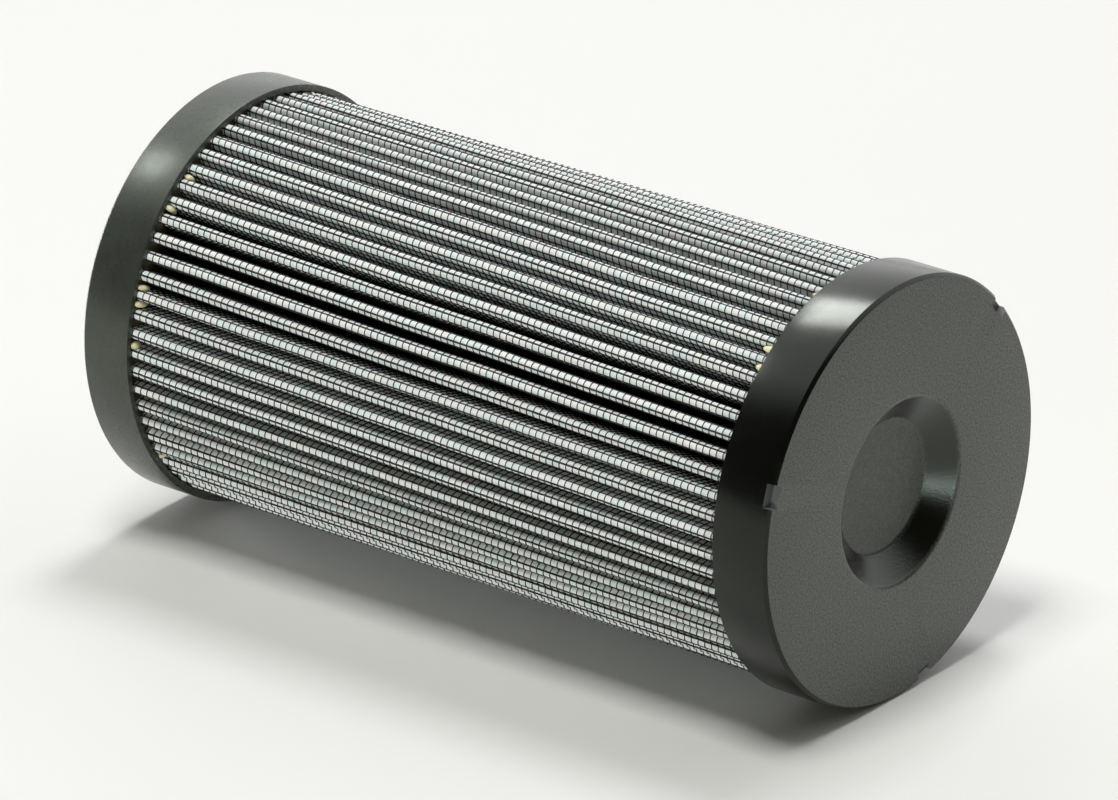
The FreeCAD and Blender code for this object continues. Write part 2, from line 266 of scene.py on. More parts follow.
def face_finish(name):
    """Glass-filled nylon with the mould's spark-eroded grain. The dish's wall is blacker and glossier
    than the face.
    """
    nylon = Finish(name, IOR=1.55, Specular_Tint=olive(1.0), Coat_IOR=1.6, Coat_Roughness=0.3)
    radius = nylon.radius()
    above_floor = nylon.limit(radius, DISH_FLOOR - 0.4 * MM, DISH_FLOOR + 0.9 * MM)
    below_mouth = 1 - nylon.limit(radius, DISH_MOUTH - 0.7 * MM, DISH_MOUTH + 0.1 * MM)
    wall = above_floor * below_mouth
    grain = nylon.noise(nylon.place, 2100, 3, 0.7)
    speck = nylon.limit(nylon.noise(nylon.place, 2700, 3, 0.8), 0.34, 0.66)
    cloud = nylon.noise(nylon.place, 140, 3, 0.6)
    colour = nylon.blend(cloud, olive(0.004), olive(0.018))
    colour = nylon.blend(speck, colour, olive(0.060))
    sheen = speck * (0.2 + 0.4 * above_floor) * (1 - 0.8 * wall)
    # The dish's wall is given a near black base, without the specks.
    nylon.use(Base_Color=nylon.blend(wall, colour, olive(0.002)), Coat_Weight=sheen)
    nylon.use(Roughness=0.36 + 0.20 * (grain - 0.5) - 0.18 * wall)
    relief = nylon.bump(grain * (1 - 0.5 * wall), 0.8, 0.08 * MM)
    nylon.use(Normal=relief, Coat_Normal=relief)
    return nylon.material


def skirt_finish(name, roughness, level, index):
    """The same nylon where the mould was polished, with a little wear."""
    nylon = Finish(name, IOR=index, Specular_Tint=olive(1.0))
    wear = nylon.noise(nylon.place, 420, 5, 0.75)
    dust = nylon.noise(nylon.place, 160, 4, 0.6)
    nylon.use(Base_Color=nylon.blend(dust, olive(level * 0.6), olive(level * 1.4)))
    nylon.use(Roughness=roughness + 0.16 * (wear - 0.5))
    nylon.use(Normal=nylon.bump(wear, 0.8, 0.012 * MM))
    return nylon.material


def notch_finish(name):
    """Fine spark-eroded grain inside the key notches, paler than the face."""
    nylon = Finish(name, IOR=1.6)
    grain = nylon.noise(nylon.place, 3200, 3, 0.7)
    nylon.use(Base_Color=nylon.blend(grain, grey(0.08, -0.04), grey(0.18, -0.04)), Roughness=0.5)
    nylon.use(Normal=nylon.bump(grain, 0.5, 0.05 * MM))
    return nylon.material


def wire_finish(name):
    """Black epoxy coat on thin wire."""
    coat = Finish(name)
    tint = coat.noise(coat.place, 700, 2)
    coat.use(Base_Color=coat.blend(tint, grey(0.004), grey(0.010)), Roughness=0.45 + 0.2 * tint)
    return coat.material


def media_finish(name):
    """White glass-fibre web, swelling a little through every opening of the cloth."""
    web = Finish(name)
    cells = web.node("ShaderNodeAttribute", {"attribute_name": "cells"}, None, "Vector")
    swells = []
    for share in web.split(cells)[:2]:
        wave = web.node("ShaderNodeMath", {"operation": "SINE"}, {0: share * math.pi})
        swells.append(web.node("ShaderNodeMath", {"operation": "ABSOLUTE"}, {0: wave}))
    pillow = (swells[0] * swells[1]) ** 0.45
    fibre = web.noise(web.place, 4200, 4, 0.7)
    patch = web.noise(web.place, 420, 2)
    # Painted shadow of the wires: each cell's colour darkens to grey towards its edges, where the wires
    # cross it.
    painted_wire_shadow = web.limit(pillow, 0.08, 0.44)
    # Painted shade: from 3 mm under the crests the web fades to near black at 8.5 mm, where the valleys
    # lie in shade.
    painted_valley_shade = web.limit(web.radius(), CREST_RADIUS - 8.5 * MM, CREST_RADIUS - 3.0 * MM)
    white = web.blend(web.limit(patch, 0.38, 0.62), (0.81, 0.89, 0.89, 1), (0.91, 0.90, 0.90, 1))
    white = web.blend(0.12 * fibre, white, grey(0.45))
    seen = web.blend(painted_wire_shadow, grey(0.30), white)
    web.use(Base_Color=web.blend(painted_valley_shade, grey(0.03), seen), Roughness=0.82)
    web.use(Normal=web.bump(pillow + 0.06 * fibre, 0.6, 0.25 * MM))
    return web.material


def resin_finish(name, low, high):
    """Yellow two-part adhesive that cured between the pleats, in the colours that it is given."""
    resin = Finish(name)
    cloud = resin.noise(resin.place, 260, 3)
    resin.use(Base_Color=resin.blend(cloud, low, high), Roughness=0.35 + 0.2 * cloud)
    resin.use(Normal=resin.bump(resin.noise(resin.place, 900, 3), 0.35, 0.2 * MM))
    return resin.material


def rubber_finish(name):
    rubber = Finish(name)
    bloom = rubber.noise(rubber.place, 500, 3)
    rubber.use(Base_Color=rubber.blend(bloom, grey(0.010), grey(0.022)), Roughness=0.42 + 0.2 * bloom)
    rubber.use(Normal=rubber.bump(rubber.noise(rubber.place, 3500, 2), 0.2, 0.03 * MM))
    return rubber.material


def moulding_finish(name):
    """Plain black nylon of the support tube, with faint flow lines."""
    tube = Finish(name)
    flow = tube.noise(tube.place, 240, 4, 0.65)
    tube.use(Base_Color=tube.blend(flow, grey(0.016), grey(0.040)), Roughness=0.42 + 0.2 * flow)
    tube.use(Normal=tube.bump(flow, 0.2, 0.2 * MM))
    return tube.material


def steel_finish(name):
    """Zinc-plated strip."""
    strip = Finish(name, Metallic=1.0)
    wear = strip.noise(strip.place, 900, 4, 0.7)
    strip.use(Base_Color=strip.blend(wear, grey(0.42), grey(0.62, 0.02)), Roughness=0.30 + 0.2 * wear)
    return strip.material


grained_nylon = face_finish("grained_nylon")
closed_skirt = skirt_finish("closed_skirt_nylon", 0.20, 0.003, 1.42)
open_skirt = skirt_finish("open_skirt_nylon", 0.28, 0.040, 1.6)
notch_nylon = notch_finish("notch_nylon")
coated_wire = wire_finish("coated_wire")
glass_web = media_finish("glass_fibre_web")
# The potting is the same adhesive as the beads, painted dark brown as painted shade for the deep valley
# ends at the skirts.
resin = resin_finish("potting_resin", (0.085, 0.070, 0.036, 1), (0.19, 0.16, 0.09, 1))
bead_resin = resin_finish("resin_bead", (0.70, 0.62, 0.36, 1), (0.86, 0.82, 0.60, 1))
rubber = rubber_finish("seal_rubber")
core_nylon = moulding_finish("core_nylon")
clip_steel = steel_finish("clip_steel")


# Meshes


def loose_object(name, mesh):
    made = bpy.data.objects.new(name, mesh)
    bpy.context.scene.collection.objects.link(made)
    return made


def piece(name, mesh, material, slot, *nodes):
    """Links a finished mesh, gives it its finish, hangs it under the root and hides the CAD nodes that it
    stands in for.
    """
    made = loose_object(name, mesh)
    if not mesh.materials:
        mesh.materials.append(material)
    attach(made, "root")
    if nodes:
        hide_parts(*nodes)


def settled(name, shape):
    """Mesh of a shape that is ready."""
    mesh = bpy.data.meshes.new(name)
    shape.to_mesh(mesh)
    shape.free()
    return mesh


def baked(source):
    """Plain mesh of an object as its modifiers leave it. The object goes."""
    bpy.context.view_layer.update()
    graph = bpy.context.evaluated_depsgraph_get()
    mesh = bpy.data.meshes.new_from_object(source.evaluated_get(graph))
    bpy.data.objects.remove(source)
    return mesh


def arc(middle, radius, start, end, steps):
    """Points of an arc, from start to end."""
    turns = [start + (end - start) * step / steps for step in range(steps + 1)]
    return [(middle[0] + radius * math.cos(a), middle[1] + radius * math.sin(a)) for a in turns]


def softened(corners, steps=3):
    """Closed outline from (across, along, radius) corners, each rounded by its radius."""
    outline = []
    for index, (x, z, radius) in enumerate(corners):
        here = Vector((x, z))
        if not radius:
            outline.append(here)
            continue
        before = Vector(corners[index - 1][:2]) - here
        after = Vector(corners[(index + 1) % len(corners)][:2]) - here
        half = before.angle(after) / 2
        reach = radius / math.tan(half)
        first = here + before.normalized() * reach
        last = here + after.normalized() * reach
        middle = here + (before.normalized() + after.normalized()).normalized() * radius / math.sin(half)
        for step in range(steps + 1):
            share = first.lerp(last, step / steps) - middle
            outline.append(middle + share.normalized() * radius)
    return outline


def turned(name, outline, steps=TURN_STEPS):
    """Solid of revolution of a closed outline of (distance, height) points."""
    shape = bmesh.new()
    rings = []
    for distance, height in outline:
        if distance < 1e-7:
            rings.append([shape.verts.new((0, 0, height))])
            continue
        turns = [2 * math.pi * step / steps for step in range(steps)]
        spots = [(distance * math.cos(a), distance * math.sin(a), height) for a in turns]
        rings.append([shape.verts.new(spot) for spot in spots])
    for ring, following in zip(rings, rings[1:] + rings[:1]):
        if len(ring) == len(following) == 1:
            continue
        for step in range(steps):
            ahead = (step + 1) % steps
            around = [ring[step % len(ring)], ring[ahead % len(ring)]]
            around += [following[ahead % len(following)], following[step % len(following)]]
            shape.faces.new(list(dict.fromkeys(around)))
    bmesh.ops.recalc_face_normals(shape, faces=shape.faces)
    return settled(name, shape)


def shaded(mesh, angle=30):
    """Smooth shading that keeps edges sharper than the angle."""
    mesh.shade_smooth()
    mesh.set_sharp_from_angle(angle=math.radians(angle))
    return mesh


def boxes_mesh(name, low, high, turns):
    """A box between two corners, repeated at angles about the axis."""
    shape = bmesh.new()
    for turn in turns:
        made = bmesh.ops.create_cube(shape, size=1)
        for vertex in made["verts"]:
            spot = [low[i] + (vertex.co[i] + 0.5) * (high[i] - low[i]) for i in range(3)]
            vertex.co = Matrix.Rotation(turn, 4, "Z") @ Vector(spot)
    bmesh.ops.recalc_face_normals(shape, faces=shape.faces)
    return settled(name, shape)


def cut_away(source, cutter):
    """The cutter leaves its own finish on the faces that it cuts."""
    cut = source.modifiers.new("cut", "BOOLEAN")
    cut.operation = "DIFFERENCE"
    cut.solver = "EXACT"
    cut.material_mode = "TRANSFER"
    cut.object = cutter
    mesh = baked(source)
    bpy.data.objects.remove(cutter)
    return mesh


# Caps, seal and notches


def two_finishes(mesh, face, skirt):
    """The skirt and the chamfer beside it have the second finish."""
    mesh.materials.append(face)
    mesh.materials.append(skirt)
    for polygon in mesh.polygons:
        if polygon.center.xy.length > CAP_RADIUS - EDGE_CUT:
            polygon.material_index = 1


def dish_wall():
    """The dish from its floor to its mouth: a straight slanting wall, rounded at both ends."""
    slope = math.atan2(DISH_DEPTH, DISH_MOUTH - DISH_FLOOR)
    trim = DISH_BLEND * math.tan(slope / 2)
    half = math.pi / 2
    lower = arc((DISH_FLOOR - trim, DISH_DEPTH - DISH_BLEND), DISH_BLEND, half, half - slope, 8)
    upper = arc((DISH_MOUTH + trim, DISH_BLEND), DISH_BLEND, -half - slope, -half, 8)
    return lower + upper


def make_closed_cap():
    soft = EDGE_SOFTNESS
    rim = CAP_RADIUS
    top = closed_high.z
    corners = [
        (rim - EDGE_CUT, 0, soft),
        (rim, EDGE_CUT, soft),
        (rim, top, soft),
        (SKIRT_BORE, top, soft),
        (SKIRT_BORE, END_WALL, 0),
        (SPIGOT_RADIUS, END_WALL, 0),
        (SPIGOT_RADIUS, DISH_DEPTH + DISH_WALL, soft),
        (0, DISH_DEPTH + DISH_WALL, 0),
        (0, DISH_DEPTH, 0),
        (0, 0, 0),
    ]
    outline = softened(corners)[:-1] + [Vector(spot) for spot in dish_wall()]
    cap = loose_object("closed_cap_blank", turned("closed_cap_blank", outline))
    two_finishes(cap.data, grained_nylon, closed_skirt)
    near = (rim - NOTCH_INSET, -NOTCH_WIDTH / 2, -NOTCH_LENGTH)
    far = (rim + NOTCH_INSET, NOTCH_WIDTH / 2, NOTCH_LENGTH)
    turns = [NOTCH_ANGLE + 2 * math.pi * k / NOTCH_COUNT for k in range(NOTCH_COUNT)]
    cutter = loose_object("notch_cutter", boxes_mesh("notches", near, far, turns))
    cutter.data.materials.append(notch_nylon)
    mesh = shaded(cut_away(cap, cutter))
    piece("closed_cap_moulding", mesh, grained_nylon, "cap_nylon", "closed_end_cap")


def make_open_cap():
    soft = EDGE_SOFTNESS
    low = open_low.z
    top = LENGTH
    gland_low = SEAL_HEIGHT - GLAND_WIDTH / 2
    gland_high = SEAL_HEIGHT + GLAND_WIDTH / 2
    corners = [
        (BORE_RADIUS + BORE_CHAMFER, top, soft),
        (BORE_RADIUS, top - BORE_CHAMFER, soft),
        (BORE_RADIUS, gland_high, soft),
        (GLAND_RADIUS, gland_high, 0),
        (GLAND_RADIUS, gland_low, 0),
        (BORE_RADIUS, gland_low, soft),
        (BORE_RADIUS, top - BORE_LENGTH, soft),
        (SPIGOT_RADIUS, top - BORE_LENGTH, soft),
        (SPIGOT_RADIUS, top - END_WALL, 0),
        (SKIRT_BORE, top - END_WALL, 0),
        (SKIRT_BORE, low, soft),
        (CAP_RADIUS, low, soft),
        (CAP_RADIUS, top - EDGE_CUT, soft),
        (CAP_RADIUS - EDGE_CUT, top, soft),
    ]
    mesh = shaded(turned("open_cap", softened(corners)))
    two_finishes(mesh, grained_nylon, open_skirt)
    piece("open_cap_moulding", mesh, grained_nylon, "cap_nylon", "open_end_cap")


def make_seal():
    middle = (SEAL_INNER + SEAL_SECTION / 2, SEAL_HEIGHT)
    section = arc(middle, SEAL_SECTION / 2, 0, 2 * math.pi, 20)[:-1]
    piece("bore_o_ring", shaded(turned("o_ring", section, 160)), rubber, "seal_rubber", "bore_seal")


# Pleats: the round fold over a crest, the straight flanks and the tight fold round a root


def flank_angle():
    """Angle between a pleat's middle plane and the outward normal of its flank."""
    root = Vector((math.cos(HALF_PITCH), math.sin(HALF_PITCH))) * ROOT_CENTRE
    across = root - Vector((CREST_CENTRE, 0))
    reach = math.acos((FOLD_HALF_WIDTH + FOLD_ROOT) / across.length)
    return math.atan2(across.y, across.x) - reach


FLANK = flank_angle()


def fold(depth, crest_steps, root_steps, flank_steps=1):
    """Outline of one pleat at a depth under the web's outer face, from root to root."""
    root = (ROOT_CENTRE * math.cos(HALF_PITCH), ROOT_CENTRE * math.sin(HALF_PITCH))
    crest = arc((CREST_CENTRE, 0), FOLD_HALF_WIDTH - depth, 0, FLANK, crest_steps)
    bend = arc(root, -(FOLD_ROOT + depth), FLANK, HALF_PITCH, root_steps)
    run = [Vector(crest[-1]).lerp(Vector(bend[0]), k / flank_steps) for k in range(1, flank_steps)]
    half = [Vector(spot) for spot in crest] + run + [Vector(spot) for spot in bend]
    mirrored = [Vector((spot.x, -spot.y)) for spot in half[:0:-1]]
    return mirrored + half


def lengths(points):
    """Distance of every point along its line."""
    total = [0.0]
    for before, after in zip(points, points[1:]):
        total.append(total[-1] + (after - before).length)
    return total


PLEAT_LENGTH = lengths(fold(HOOP_DEPTH, 16, 6))[-1]


def one_pleat(name, steps):
    """One pleat of the web as a closed shell, standing along the axis, with its cloth cells."""
    front = fold(MEDIA_DEPTH, 8, 3, 3)
    back = fold(MEDIA_BACK, 4, 4, 2)
    shape = bmesh.new()
    across = shape.verts.layers.float.new("across")
    scale = PLEAT_LENGTH / lengths(front)[-1] / WIRE_PITCH
    walls = []
    for outline in (front, back):
        run = lengths(outline)
        wall = []
        for step in range(steps + 1):
            height = FOOT + (HEAD - FOOT) * step / steps
            row = [shape.verts.new((spot.x, spot.y, height)) for spot in outline]
            for vertex, distance in zip(row, run):
                vertex[across] = distance * scale
            wall.append(row)
        walls.append(wall)
    for wall, flip in zip(walls, (False, True)):
        for lower, upper in zip(wall, wall[1:]):
            for k in range(len(lower) - 1):
                around = [lower[k], lower[k + 1], upper[k + 1], upper[k]]
                shape.faces.new(around[::-1] if flip else around)
    for end, flip in ((0, True), (-1, False)):
        close_end(shape, walls[0][end], walls[1][end], flip)
    return settled(name, shape)


def close_end(shape, front, back, flip):
    """Joins the front and back outlines at one end of the web with a strip of triangles."""
    i = 0
    j = 0
    while i < len(front) - 1 or j < len(back) - 1:
        step_front = i / (len(front) - 1) <= j / (len(back) - 1)
        if step_front:
            corners = [front[i], front[i + 1], back[j]]
            i += 1
        else:
            corners = [front[i], back[j + 1], back[j]]
            j += 1
        shape.faces.new(corners if flip else corners[::-1])


def clip_mesh(name, low, high, steps):
    """Thin strip folded over one crest, with two legs down its flanks."""
    inner = fold(CLIP_DEPTH, 8, 1, 12)
    outer = fold(CLIP_DEPTH - CLIP_THICKNESS, 8, 1, 12)
    leg = CREST_RADIUS - CLIP_LEG
    ring = [spot for spot in outer if spot.x > leg] + [spot for spot in inner if spot.x > leg][::-1]
    shape = bmesh.new()
    rows = []
    for step in range(steps + 1):
        height = low + (high - low) * step / steps
        rows.append([shape.verts.new((spot.x, spot.y, height)) for spot in ring])
    for lower, upper in zip(rows, rows[1:]):
        for k in range(len(ring)):
            after = (k + 1) % len(ring)
            shape.faces.new([lower[k], lower[after], upper[after], upper[k]])
    half = len(ring) // 2
    for row in (rows[0], rows[-1]):
        for k in range(half - 1):
            shape.faces.new([row[k], row[k + 1], row[-2 - k], row[-1 - k]])
    bmesh.ops.recalc_face_normals(shape, faces=shape.faces)
    return settled(name, shape)


def line_mesh(name, points):
    """Chain of edges through flat points."""
    mesh = bpy.data.meshes.new(name)
    edges = [(k, k + 1) for k in range(len(points) - 1)]
    mesh.from_pydata([(spot.x, spot.y, 0) for spot in points], edges, [])
    return mesh


# Geometry trees


class Recipe(Sheet):
    """A geometry tree with named inputs."""

    def __init__(self, name, **sizes):
        self.group = bpy.data.node_groups.new(name, "GeometryNodeTree")
        super().__init__(self.group)
        for end in ("INPUT", "OUTPUT"):
            self.group.interface.new_socket("Geometry", in_out=end, socket_type="NodeSocketGeometry")
        self.sockets = {}
        for title, size in sizes.items():
            kind = "NodeSocketInt" if isinstance(size, int) else "NodeSocketFloat"
            socket = self.group.interface.new_socket(title, in_out="INPUT", socket_type=kind)
            self.sockets[title] = (socket.identifier, size)
        start = self.tree.nodes.new("NodeGroupInput")
        self.geometry = Wire(self, start.outputs["Geometry"])
        self.size = {title: Wire(self, start.outputs[title]) for title in sizes}

    def whole(self, value):
        return self.node("ShaderNodeMath", {"operation": "FLOOR"}, {0: value})

    def remainder(self, value, divisor):
        return self.node("ShaderNodeMath", {"operation": "FLOORED_MODULO"}, {0: value, 1: divisor})

    def turn(self, vector, angle):
        """Vector turned about the element's axis."""
        values = {"Vector": vector, "Angle": angle}
        return self.node("ShaderNodeVectorRotate", {"rotation_type": "Z_AXIS"}, values)

    def wire_along(self, line):
        """Round wire with closed ends along a chain of edges."""
        curve = self.node("GeometryNodeMeshToCurve", None, {0: line})
        section = {"Resolution": WIRE_SIDES, "Radius": self.size["wire"] / 2}
        ring = self.node("GeometryNodeCurvePrimitiveCircle", None, section)
        values = {"Curve": curve, "Profile Curve": ring, "Fill Caps": True}
        return self.node("GeometryNodeCurveToMesh", None, values)

    def upright(self, angle):
        """Rotation about the element's axis."""
        euler = self.node("ShaderNodeCombineXYZ", None, {"Z": angle})
        return self.node("FunctionNodeEulerToRotation", None, {0: euler})

    def spun(self, geometry):
        """Twists the pleats a little about the axis and lets them wander as folded cloth does."""
        place = self.node("GeometryNodeInputPosition")
        z = self.split(place)[2]
        angle = (z - MIDDLE) * self.size["twist"] + SEAM_ANGLE
        drift = self.noise(place, WOBBLE_SCALE, 1).other("Color")
        drift = self.added(drift, (-0.5, -0.5, -0.5))
        moved = self.added(place, self.scaled(drift, self.size["wobble"]))
        values = {"Geometry": geometry, "Position": self.turn(moved, angle)}
        return self.node("GeometryNodeSetPosition", None, values)

    def finish(self, geometry, material):
        """Last steps of every tree: real geometry with its finish."""
        real = self.node("GeometryNodeRealizeInstances", None, {"Geometry": geometry})
        smooth = self.node("GeometryNodeSetShadeSmooth", None, {"Geometry": real})
        values = {"Geometry": smooth, "Material": material}
        done = self.node("GeometryNodeSetMaterial", None, values)
        end = self.tree.nodes.new("NodeGroupOutput")
        self.feed(end.inputs["Geometry"], done)

    def grow(self, name, mesh, **sizes):
        """Runs the tree on a mesh and gives the plain mesh that it makes."""
        source = loose_object(name, mesh)
        modifier = source.modifiers.new(name, "NODES")
        modifier.node_group = self.group
        for title, (identifier, size) in self.sockets.items():
            modifier[identifier] = sizes.get(title, size)
        return baked(source)


def sheet_recipe(material):
    """A pleat repeated round the axis, each with its own share of the cloth's cells."""
    recipe = Recipe("pleated_sheet", pleats=PLEATS, shift=PITCH_SHIFT, twist=TWIST, wobble=WOBBLE)
    size = recipe.size
    points = recipe.node("GeometryNodePoints", None, {"Count": size["pleats"]})
    pleat = recipe.node("GeometryNodeInputIndex")
    turn = recipe.upright(pleat * 2 * HALF_PITCH)
    values = {"Points": points, "Instance": recipe.geometry, "Rotation": turn}
    ring = recipe.node("GeometryNodeInstanceOnPoints", None, values)
    numbering = {"Geometry": ring, "Name": "pleat", "Value": pleat}
    ring = recipe.node("GeometryNodeStoreNamedAttribute", {"domain": "INSTANCE"}, numbering)
    real = recipe.node("GeometryNodeRealizeInstances", None, {"Geometry": ring})
    own = recipe.node("GeometryNodeInputNamedAttribute", None, {"Name": "pleat"})
    across = recipe.node("GeometryNodeInputNamedAttribute", None, {"Name": "across"})
    z = recipe.split(recipe.node("GeometryNodeInputPosition"))[2]
    u = across - recipe.remainder(own * size["shift"], 1)
    v = (z - FOOT) / WIRE_PITCH - 0.5
    cells = recipe.node("ShaderNodeCombineXYZ", None, {"X": u, "Y": v})
    values = {"Geometry": real, "Name": "cells", "Value": cells}
    settings = {"data_type": "FLOAT_VECTOR", "domain": "POINT"}
    real = recipe.node("GeometryNodeStoreNamedAttribute", settings, values)
    merging = {"Geometry": recipe.spun(real), "Distance": 0.01 * MM}
    recipe.finish(recipe.node("GeometryNodeMergeByDistance", None, merging), material)
    return recipe


def hoop_recipe(material):
    """Wires that run over the folds, one above the other, on a share of the pleats."""
    counts = {"pleats": PLEATS, "first": 0, "hoops": HOOPS}
    recipe = Recipe("hoop_wires", **counts, twist=TWIST, wobble=WOBBLE, wire=WIRE)
    size = recipe.size
    hoop = recipe.wire_along(recipe.geometry)
    points = recipe.node("GeometryNodePoints", None, {"Count": size["pleats"] * size["hoops"]})
    index = recipe.node("GeometryNodeInputIndex")
    row = recipe.remainder(index, size["hoops"])
    pleat = recipe.whole(index / size["hoops"]) + size["first"]
    height = FOOT + (row + 0.5) * WIRE_PITCH
    place = recipe.node("ShaderNodeCombineXYZ", None, {"Z": height})
    points = recipe.node("GeometryNodeSetPosition", None, {"Geometry": points, "Position": place})
    values = {"Points": points, "Instance": hoop, "Rotation": recipe.upright(pleat * 2 * HALF_PITCH)}
    hoops = recipe.node("GeometryNodeInstanceOnPoints", None, values)
    real = recipe.node("GeometryNodeRealizeInstances", None, {"Geometry": hoops})
    recipe.finish(recipe.spun(real), material)
    return recipe


def strand_recipe(material):
    """Wires that run along the folds, a wire's pitch apart on the cloth."""
    count = int(PLEAT_LENGTH / WIRE_PITCH) + 1
    counts = {"pleats": PLEATS, "strands": count, "shift": PITCH_SHIFT}
    recipe = Recipe("long_wires", **counts, twist=TWIST, wobble=WOBBLE, wire=WIRE)
    size = recipe.size
    line = recipe.node("GeometryNodeMeshToCurve", None, {0: recipe.geometry})
    points = recipe.node("GeometryNodePoints", None, {"Count": size["pleats"] * size["strands"]})
    index = recipe.node("GeometryNodeInputIndex")
    strand = recipe.remainder(index, size["strands"])
    pleat = recipe.whole(index / size["strands"])
    run = (strand + recipe.remainder(pleat * size["shift"], 1)) * WIRE_PITCH
    sample = {"Curves": line, "Length": run}
    spot = recipe.node("GeometryNodeSampleCurve", {"mode": "LENGTH"}, sample, "Position")
    place = recipe.added(recipe.turn(spot, pleat * 2 * HALF_PITCH), (0, 0, FOOT))
    points = recipe.node("GeometryNodeSetPosition", None, {"Geometry": points, "Position": place})
    step = (0, 0, (HEAD - FOOT) / STRAND_STEPS)
    post = {"Count": STRAND_STEPS + 1, "Start Location": (0, 0, 0), "Offset": step}
    post = recipe.node("GeometryNodeMeshLine", None, post)
    values = {"Points": points, "Instance": recipe.wire_along(post)}
    bars = recipe.node("GeometryNodeInstanceOnPoints", None, values)
    real = recipe.node("GeometryNodeRealizeInstances", None, {"Geometry": bars})
    recipe.finish(recipe.spun(real), material)
    return recipe


def strip_recipe(material):
    """Something that follows one pleat's twist and wander."""
    recipe = Recipe("twisted_strip", twist=TWIST, wobble=WOBBLE)
    recipe.finish(recipe.spun(recipe.geometry), material)
    return recipe


def bead_recipe(material):
    """Drops of resin that rose between the pleats at a skirt's edge, in random valleys and sizes."""
    drops = {"height": 0.0, "inset": MM, "rise": MM, "seed": 3, "share": 0.5}
    recipe = Recipe("resin_beads", **drops, twist=TWIST, wobble=0.0)
    size = recipe.size

    def chance(low, high, number):
        """Random value of each valley, by the seed and its own number."""
        values = {2: low, 3: high, "Seed": size["seed"] + number}
        return recipe.node("FunctionNodeRandomValue", None, values, 1)

    points = recipe.node("GeometryNodePoints", None, {"Count": PLEATS})
    valley = recipe.node("GeometryNodeInputIndex")
    angle = (2 * valley + 1) * HALF_PITCH
    reach = CREST_RADIUS - size["inset"] * chance(0.8, 1.3, 1)
    reach = recipe.node("ShaderNodeCombineXYZ", None, {"X": reach})
    lifted = recipe.node("ShaderNodeCombineXYZ", None, {"Z": size["height"]})
    place = recipe.added(recipe.turn(reach, angle + chance(-0.25, 0.25, 2) * HALF_PITCH), lifted)
    points = recipe.node("GeometryNodeSetPosition", None, {"Geometry": points, "Position": place})
    ball = recipe.node("GeometryNodeMeshUVSphere", None, {"Segments": 8, "Rings": 6, "Radius": 1.0})
    tall = size["rise"] * chance(0.5, 1.5, 5)
    spread = {"X": chance(0.9, 1.4, 3) * size["inset"], "Y": chance(0.5, 0.8, 4) * MM, "Z": tall}
    draw = {0: chance(0.0, 1.0, 6), 1: size["share"]}
    keep = recipe.node("FunctionNodeCompare", {"operation": "LESS_THAN"}, draw)
    values = {
        "Points": points,
        "Selection": keep,
        "Instance": ball,
        "Rotation": recipe.upright(angle),
        "Scale": recipe.node("ShaderNodeCombineXYZ", None, spread),
    }
    beads = recipe.node("GeometryNodeInstanceOnPoints", None, values)
    real = recipe.node("GeometryNodeRealizeInstances", None, {"Geometry": beads})
    recipe.finish(recipe.spun(real), material)
    return recipe


def make_resin_beads():
    beads = bead_recipe(bead_resin)
    lower = {"height": closed_high.z + 0.6 * MM, "inset": 0.6 * MM, "rise": 1.7 * MM, "seed": 129}
    upper = {"height": open_low.z, "inset": 1.3 * MM, "rise": 1.1 * MM, "seed": 33}
    for name, sizes in (("lower", lower | {"share": 0.4}), ("upper", upper | {"share": 0.32})):
        mesh = beads.grow("beads", line_mesh("bead_seed", [Vector((0, 0))]), **sizes)
        piece(f"{name}_resin_beads", mesh, bead_resin, "potting_resin")


def make_seam_clip():
    strip = clip_mesh("clip_strip", closed_high.z + 0.2 * MM, open_low.z - 0.2 * MM, 24)
    mesh = strip_recipe(clip_steel).grow("clip", strip)
    piece("folded_seam_clip", shaded(mesh), clip_steel, "clip_steel", "seam_clip")


def make_web():
    sheet = sheet_recipe(glass_web).grow("media_pleats", one_pleat("one_pleat", 20))
    piece("media_pleats", sheet, glass_web, "glass_fibre", "filter_media")

    hoops = hoop_recipe(coated_wire)
    outline = fold(HOOP_DEPTH, 5, 1)[1:-1]
    share = PLEATS // 4
    for quarter, name in enumerate(("first", "second", "third", "fourth")):
        mesh = hoops.grow("hoops", line_mesh("hoop", outline), pleats=share, first=quarter * share)
        replaced = ["outer_mesh"] if quarter == 0 else []
        piece(f"outer_hoops_{name}_quarter", mesh, coated_wire, "coated_wire", *replaced)
    line = line_mesh("pleat_line", fold(STRAND_DEPTH, 16, 6))
    mesh = strand_recipe(coated_wire).grow("strands", line)
    piece("outer_long_wires", mesh, coated_wire, "coated_wire")

    inner = fold(INNER_HOOP_DEPTH, 2, 2)
    turn = Matrix.Rotation(2 * HALF_PITCH, 2)
    root = inner[-3:] + [turn @ spot for spot in inner[1:3]]
    mesh = hoops.grow("inner_hoops", line_mesh("inner_hoop", root))
    piece("inner_hoops", mesh, coated_wire, "coated_wire", "inner_mesh")


make_closed_cap()
make_open_cap()
make_seal()
make_web()
make_seam_clip()
make_resin_beads()

# Finishes for CAD nodes that keep their shape; the potting's dark adhesive is painted shade.
for node, material in (
    ("core_tube", core_nylon),
    ("lower_potting", resin),
    ("upper_potting", resin),
):
    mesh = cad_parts[node].data
    mesh.materials.clear()
    mesh.materials.append(material)


# Floor, light and camera


def placed(vector):
    """A direction of the photograph's frame, in the element's frame."""
    return VIEW_TURN.to_3x3() @ vector


